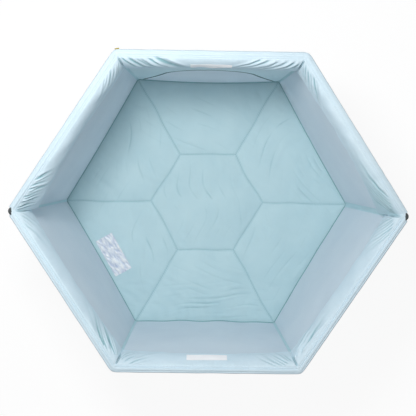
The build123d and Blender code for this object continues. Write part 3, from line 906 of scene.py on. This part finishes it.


# The rim's darker colour is painted shade, for its folds, darts and gathered skirt.
rim_cloth = woven_cloth(
    "rim_cloth", dye(214, 233, 243), dye(207, 228, 239), 0.62, 0.25, painted_shade_and_thread=dye(116, 168, 176)
)
corner_columns, straight_columns, corner_run = 18, 240, 0.05
hem_row = -11
rim_grids = []
for side in range(6):
    length = rim_ends(side)[2]
    even_run = np.concatenate(
        [
            corner_run * np.linspace(0, 1, corner_columns, endpoint=False) ** 1.5,
            np.linspace(corner_run, length - corner_run, straight_columns, endpoint=False),
            length - corner_run * np.linspace(1, 0, corner_columns + 1) ** 1.5,
        ]
    )
    arch = (2 * even_run / length - 1) ** 2
    hand, shade = leaning_ends.get(side, (0, 0.0))
    from_lean = even_run if hand > 0 else length - even_run
    lean = abs(hand) * bell(from_lean, lean_reach) * ramp(from_lean, lean_start)
    flat = eased(np.minimum(even_run, length - even_run) / power_reach)
    out, level = rim_profile(
        hem_middle + (hem_end - hem_middle) * arch,
        outer_hem_middle + (outer_hem_end - outer_hem_middle) * arch,
        end_power + (roll_powers[side] - end_power) * flat,
        lean,
    )

    # Rows near the outer edge stop short of an open corner, so that the post's cap shows there.
    window = ramp(out[:, :1] - cut_out, cut_out_fade) * ramp(level[:, :1] - cut_level, cut_level_fade)
    window = cap_cut * eased(window)
    start_trim, end_trim = (window * (corner in open_corners) for corner in (side, (side + 1) % 6))
    run = start_trim + (length - start_trim - end_trim) * even_run / length
    from_end = np.minimum(run, length - run)

    # Cloth distance down the profile, from the crest: positive outside, negative inside.
    step = np.hypot(np.diff(out, axis=0), np.diff(level, axis=0))
    down = np.concatenate([np.zeros((1, run.shape[1])), np.cumsum(step, axis=0)])
    crest_row = int(np.argmax(out[:, 0] <= rim_crest))
    down = down[crest_row] - down

    # Relief of the cloth: soft fullness, pull creases, stitched ridges with puckers, hem stitching, darts.
    calm = ramp(from_end, calm_reach)
    full = full_least + full_inside * ramp(-down, inside_reach)
    rise = full * soft_waves(run, down, 60 + side, *full_waves) * calm
    folds = creases(run, down, rim_marks(side, length)) * calm * ramp(-(down + fold_start), fold_fade)
    rise += folds
    on_top = level > rim_top - top_depth
    for line_out, depth in ridge_lines:
        rise -= ridge_shares[side] * depth * bell(out - line_out, ridge_width) * on_top * calm
    drift = pucker_drift * soft_waves(run, 0 * run, 80 + side, *pucker_waves)
    pucker = np.sin(2 * np.pi * run / pucker_pitch + drift)
    rise += pucker_height * pucker * bell(out - pucker_out, pucker_width) * calm
    rise -= stitch_depth * bell(down - down[hem_row] - stitch_gap, stitch_width)
    pinch = ramp(-(down + pinch_start), pinch_fade)
    pinch = pinch * np.clip((down + pinch_end) / pinch_tail, pinch_least, 1)
    dart = (bell(from_end - dart_place, dart_width) + 0.5 * bell(from_end, dart_reach)) * pinch
    rise -= dart_depth * dart
    slope_out, slope_up = np.gradient(out, axis=0), np.gradient(level, axis=0)
    size = np.maximum(np.hypot(slope_out, slope_up), 1e-9)
    out, level = out + rise * slope_up / size, level - rise * slope_out / size

    points = raised(rim_place(side, run, out), level)
    rim_grids.append(points)
    band = grid_piece(f"rim_band_{side + 1}", points, rim_cloth, (run, down), turned=True)
    # Painted shade: the leaning skirt, the darts and the folds' valleys take a share of the darker colour,
    # for the shade that falls there.
    gathered_painted_shade = shade * lean * ramp(-(down + shade_start), shade_fade)
    painted_shade_and_thread = gathered_painted_shade + dart_shade * dart**2 - fold_shade * np.minimum(folds, 0)
    numbers_on(band, "painted_shade_and_thread", np.clip(painted_shade_and_thread, 0, deepest_shade).ravel())
    thicken(band, rim_thickness, -1.0)
    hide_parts(f"rim_cover_{side + 1}")
    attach(band, f"post_{side + 1}")
    gather(band)

# Sewn-on trims
# Two bare white strips low on the rim's roll, a bare vinyl patch on the floor and a small yellow tab.
# The strips follow the rim band's own cloth, a little proud of it.
strip_cloth = woven_cloth("strip_cloth", dye(254, 254, 255), dye(250, 250, 252), 0.6, 0.1)
strip_half, strip_proud, strip_thickness, strip_weave = 0.0655, 0.0008, 0.0006, 0.002
strip_rows, roll_row = slice(72, 89), 60
for side in (1, 4):
    points = rim_grids[side]
    across = (points[roll_row, :, :2] - points[roll_row, points.shape[1] // 2, :2]) @ side_way[side]
    chosen = points[strip_rows, np.abs(across) <= strip_half]
    normal = unit(np.cross(np.gradient(chosen, axis=1), np.gradient(chosen, axis=0)))
    uv = strip_weave * np.arange(chosen.shape[1]), strip_weave * np.arange(chosen.shape[0])[:, None]
    strip = grid_piece(f"rim_strip_{side + 1}", chosen + normal * strip_proud, strip_cloth, uv, turned=True)
    thicken(strip, strip_thickness)
    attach(strip, f"post_{side + 1}")
    gather(strip)

# The patch lies on the floor's cloth, parallel to the floor's edge; its vinyl is crinkled.
patch_middle = np.array([-0.3623, -0.2108])
patch_length, patch_width = 0.159, 0.073
patch_proud, patch_thickness = 0.0012, 0.0004
crinkle_height, crinkle_waves = 0.0008, (10, 0.012, 0.04)


def floor_height(x, y):
    """Height of the floor's top at a place: the four nearest points of its lattice, blended."""
    level = np.where(lattice >= 0, floor_points[lattice, 2], seam_level)
    along_second = y / row_pitch + floor_rings
    along_first = x / pitch - (along_second - floor_rings) / 2 + floor_rings
    low, left = np.floor(along_first).astype(int), np.floor(along_second).astype(int)
    up, right = along_first - low, along_second - left
    near = level[low, left] * (1 - up) + level[low + 1, left] * up
    far = level[low, left + 1] * (1 - up) + level[low + 1, left + 1] * up
    return near * (1 - right) + far * right


def crinkled_vinyl():
    """Thin white vinyl with a gloss: long crinkles, as noise stretched one way, with painted shade that greys
    their dips.
    """
    material, tree, shader = finish("patch_vinyl", dye(250, 250, 252), 0.22)
    turn = (0.0, 0.0, math.radians(-48))
    stretch = {"Vector": object_place(tree), "Rotation": turn, "Scale": (2.4, 1.0, 1.0)}
    cloth = node(tree, "Mapping", stretch, vector_type="TEXTURE").outputs["Vector"]
    cloud = mottle(cloth, 95.0)
    # Painted shade: where the crinkles' relief is low, the colour turns blue-grey.
    feed(shader, {"Base Color": tint(cloud, dye(196, 205, 226), dye(255, 255, 255))})
    relief(shader, cloud, 0.0022)
    return material


patch_along, patch_across = np.meshgrid(np.linspace(-0.5, 0.5, 61), np.linspace(-0.5, 0.5, 31))
patch_plan = laid_out(patch_middle, sixth_way(-1), patch_along * patch_length, patch_across * patch_width)
x, y = np.moveaxis(patch_plan, -1, 0)
level = floor_height(x, y) + patch_proud + crinkle_height * soft_waves(x, y, 31, *crinkle_waves) ** 2
patch = grid_piece("floor_patch", raised(patch_plan, level), crinkled_vinyl())
thicken(patch, patch_thickness)
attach(patch, "floor_4")
gather(patch)

# The tab is a short loop of yellow ribbon in the outer seam near the third post.
tab_cloth = woven_cloth("tab_cloth", dye(172, 152, 32), dye(156, 138, 26), 0.6, 0.2)
tab_width, tab_reach, tab_thick, tab_level = 0.0100, 0.0050, 0.0022, 0.6480
tab_from_end, tab_sunk, ribbon_thickness = 0.0062, 0.0015, 0.0007
tab_run = rim_ends(1)[2] - tab_from_end + np.linspace(-0.5, 0.5, 7) * tab_width
run, around = np.meshgrid(tab_run, np.linspace(-np.pi / 2, np.pi / 2, 15))
tab_plan = rim_place(1, run, rim_out - tab_sunk + tab_reach * np.cos(around))
tab_points = raised(tab_plan, tab_level + tab_thick * np.sin(around))
tab = grid_piece("yellow_tab", tab_points, tab_cloth, (run, around * 0.004))
thicken(tab, ribbon_thickness)
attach(tab, "post_2")
gather(tab)

# Studio
# A white floor and backdrop that keep a faint shadow, one large soft lamp and even light all round.


def seen_rays(tree):
    """1 on rays from the camera, direct or by way of a gloss or a clear piece, and 0 on rays that light."""
    rays = node(tree, "LightPath").outputs
    seen = maths("MAXIMUM", rays["Is Camera Ray"], rays["Is Glossy Ray"])
    return maths("MAXIMUM", seen, rays["Is Transmission Ray"])


def show_mixed(tree, output, share, first, second):
    """Send a mix of two shader nodes, by a share of the second, to a node tree's output."""
    mixed = node(tree, "MixShader", {"Fac": share, 1: first.outputs[0], 2: second.outputs[0]})
    feed(tree.nodes[output], {"Surface": mixed.outputs["Shader"]})


white = (1.0, 1.0, 1.0, 1.0)
studio = bpy.data.materials.new("studio_white")
studio.use_nodes = True
tree = studio.node_tree
tree.nodes.remove(tree.nodes["Principled BSDF"])
paper = node(tree, "BsdfDiffuse", {"Color": (0.86, 0.86, 0.86, 1.0)})
glow = node(tree, "Emission", {"Color": white, "Strength": 1.06})
show_mixed(tree, "Material Output", maths("MULTIPLY", seen_rays(tree), 0.84), paper, glow)
ground_corners = np.array([[-9, -9, -0.0005], [9, -9, -0.0005], [9, 9, -0.0005], [-9, 9, -0.0005]])
ground = mesh_piece("studio_floor", ground_corners, np.array([[0, 1, 2, 3]]), studio)

world = bpy.data.worlds.new("studio_world")
scene.world = world
world.use_nodes = True
tree = world.node_tree
around_light = tree.nodes["Background"]
way_up = node(tree, "SeparateXYZ", {"Vector": node(tree, "TexCoord").outputs["Generated"]}).outputs["Z"]
dome = map_range(way_up, 0.25, 0.65, 0.32, 0.46)
feed(around_light, {"Color": (0.98, 0.99, 1.0, 1.0), "Strength": dome})
backdrop = node(tree, "Background", {"Color": white, "Strength": 1.0})
show_mixed(tree, "World Output", seen_rays(tree), around_light, backdrop)

lamp = bpy.data.lights.new("key_lamp", "AREA")
lamp.shape, lamp.size, lamp.energy = "SQUARE", 0.45, 24.5
lamp_place, lamp_aim = np.array([-0.42, 0.69, 2.27]), np.array([0.0, 0.0, 0.3])
x, y, z = lamp_aim - lamp_place
key_lamp = scene_object("key_lamp", lamp)
key_lamp.location = lamp_place
key_lamp.rotation_euler = (math.atan2(math.hypot(x, y), -z), 0.0, math.atan2(y, x) - math.pi / 2)

eye = bpy.data.cameras.new("photo_camera")
eye.sensor_width, eye.lens = 36.0, 71.78
camera = scene_object("photo_camera", eye)
camera.location = (-0.0417, 0.1844, 3.261)
camera.rotation_euler = tuple(math.radians(angle) for angle in (-3.647, -0.778, 0.868))
scene.camera = camera
scene.view_settings.view_transform = "Standard"
